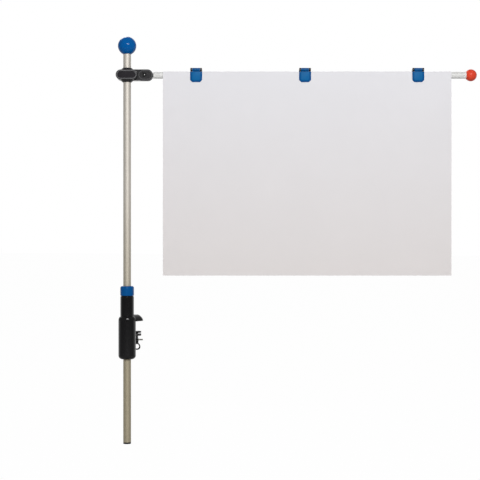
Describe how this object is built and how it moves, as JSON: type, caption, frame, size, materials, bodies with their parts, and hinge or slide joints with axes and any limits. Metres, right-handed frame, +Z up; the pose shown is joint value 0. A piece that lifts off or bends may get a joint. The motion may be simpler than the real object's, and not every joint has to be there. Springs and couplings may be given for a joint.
{
  "type": "clamp-on plan holder",
  "caption": "Table clamp with a sliding screw jaw, an upright tube mast in a locking collar, and a swivelling, tilting arm whose sprung clips hold a hung plan.",
  "frame": {"origin": "middle of the flat seat under the clamp's hook, which lies on the table top", "axes": "+Z up along the mast, +Y in over the table from the clamp, X along the table's edge; the arm is stored swung 30 degrees from X towards Y"},
  "size_m": [0.6527, 0.3915, 0.8399],
  "materials": {
    "black_plastic": "semi-gloss moulded",
    "blue_plastic": "glossy moulded",
    "red_plastic": "glossy moulded",
    "aluminium": "satin anodised",
    "zinc_steel": "zinc plated",
    "black_steel": "black oxide",
    "paper": "matt"
  },
  "bodies": {
    "clamp": {"clamp_body": "black_plastic", "lower_guide_bush": "black_plastic", "jaw_stop_pin": "zinc_steel"},
    "collet": {"collet": "black_plastic"},
    "lock_collar": {"lock_collar": "blue_plastic"},
    "jaw": {"sliding_jaw": "black_plastic"},
    "pad": {"pressure_pad": "black_plastic"},
    "screw": {"clamp_screw": "black_steel", "tommy_bar": "zinc_steel", "ring_handle": "black_plastic"},
    "mast": {"mast_tube": "aluminium", "mast_end_plug": "black_plastic", "ball_stud": "zinc_steel", "ball_knob": "blue_plastic"},
    "sleeve": {"slide_sleeve": "black_plastic", "sleeve_top_ring": "black_plastic"},
    "bracket": {"bracket_front_shell": "black_plastic", "bracket_rear_shell": "black_plastic", "face_plate": "black_plastic", "bracket_screw_1": "zinc_steel", "bracket_screw_2": "zinc_steel", "pivot_screw": "black_steel", "pivot_nut": "zinc_steel"},
    "arm": {"arm_tongue": "black_plastic", "arm_rod": "aluminium", "end_ball": "red_plastic", "plan_sheet": "paper"},
    "clip_1": {"clip_saddle_1": "black_plastic", "clip_pin_1": "black_steel", "clip_spring_1": "zinc_steel"},
    "clip_2": {"clip_saddle_2": "black_plastic", "clip_pin_2": "black_steel", "clip_spring_2": "zinc_steel"},
    "clip_3": {"clip_saddle_3": "black_plastic", "clip_pin_3": "black_steel", "clip_spring_3": "zinc_steel"},
    "flap_1": {"clip_flap_1": "blue_plastic"},
    "flap_2": {"clip_flap_2": "blue_plastic"},
    "flap_3": {"clip_flap_3": "blue_plastic"}
  },
  "joints": [
    {"name": "collar_turn", "type": "hinge", "parent": "clamp", "child": "lock_collar", "pos_m": [0, -0.029, 0.064], "axis": [0, 0, 1], "range_deg": [0, 120]},
    {"name": "mast_turn", "type": "hinge", "parent": "clamp", "child": "collet", "pos_m": [0, -0.029, 0.05], "axis": [0, 0, 1], "continuous": true},
    {"name": "mast_slide", "type": "slide", "parent": "collet", "child": "mast", "axis": [0, 0, 1], "range_m": [-0.2, 0.14]},
    {"name": "sleeve_slide", "type": "slide", "parent": "mast", "child": "sleeve", "axis": [0, 0, 1], "range_m": [-0.2, 0.02]},
    {"name": "bracket_swivel", "type": "hinge", "parent": "sleeve", "child": "bracket", "pos_m": [0, -0.029, 0.508], "axis": [0, 0, 1], "continuous": true},
    {"name": "arm_tilt", "type": "hinge", "parent": "bracket", "child": "arm", "pos_m": [0.03118, -0.011, 0.508], "axis": [0.5, -0.866, 0], "range_deg": [0, 90]},
    {"name": "clip_1_slide", "type": "slide", "parent": "arm", "child": "clip_1", "axis": [0.866, 0.5, 0], "range_m": [-0.055, 0.06]},
    {"name": "clip_2_slide", "type": "slide", "parent": "arm", "child": "clip_2", "axis": [0.866, 0.5, 0], "range_m": [-0.06, 0.06]},
    {"name": "clip_3_slide", "type": "slide", "parent": "arm", "child": "clip_3", "axis": [0.866, 0.5, 0], "range_m": [-0.06, 0.06]},
    {"name": "flap_1_open", "type": "hinge", "parent": "clip_1", "child": "flap_1", "pos_m": [0.12708, 0.03629, 0.5187], "axis": [-0.866, -0.5, 0], "range_deg": [0, 30], "stiffness_Nm_per_rad": 0.04, "springref_deg": -20.05},
    {"name": "flap_2_open", "type": "hinge", "parent": "clip_2", "child": "flap_2", "pos_m": [0.32125, 0.14839, 0.5187], "axis": [-0.866, -0.5, 0], "range_deg": [0, 30], "stiffness_Nm_per_rad": 0.04, "springref_deg": -20.05},
    {"name": "flap_3_open", "type": "hinge", "parent": "clip_3", "child": "flap_3", "pos_m": [0.52303, 0.26489, 0.5187], "axis": [-0.866, -0.5, 0], "range_deg": [0, 30], "stiffness_Nm_per_rad": 0.04, "springref_deg": -20.05},
    {"name": "jaw_slide", "type": "slide", "parent": "clamp", "child": "jaw", "axis": [0, 0, 1], "range_m": [-0.024, 0.012]},
    {"name": "screw_feed", "type": "slide", "parent": "jaw", "child": "pad", "axis": [0, 0, 1], "range_m": [-0.0008, 0.0056]},
    {"name": "screw_turn", "type": "hinge", "parent": "pad", "child": "screw", "pos_m": [0, 0.0065, -0.04], "axis": [0, 0, 1], "range_deg": [-360, 2520]}
  ],
  "couplings": [
    {"joint": "screw_turn", "follows": "screw_feed", "rad_per_m": 7854}
  ]
}
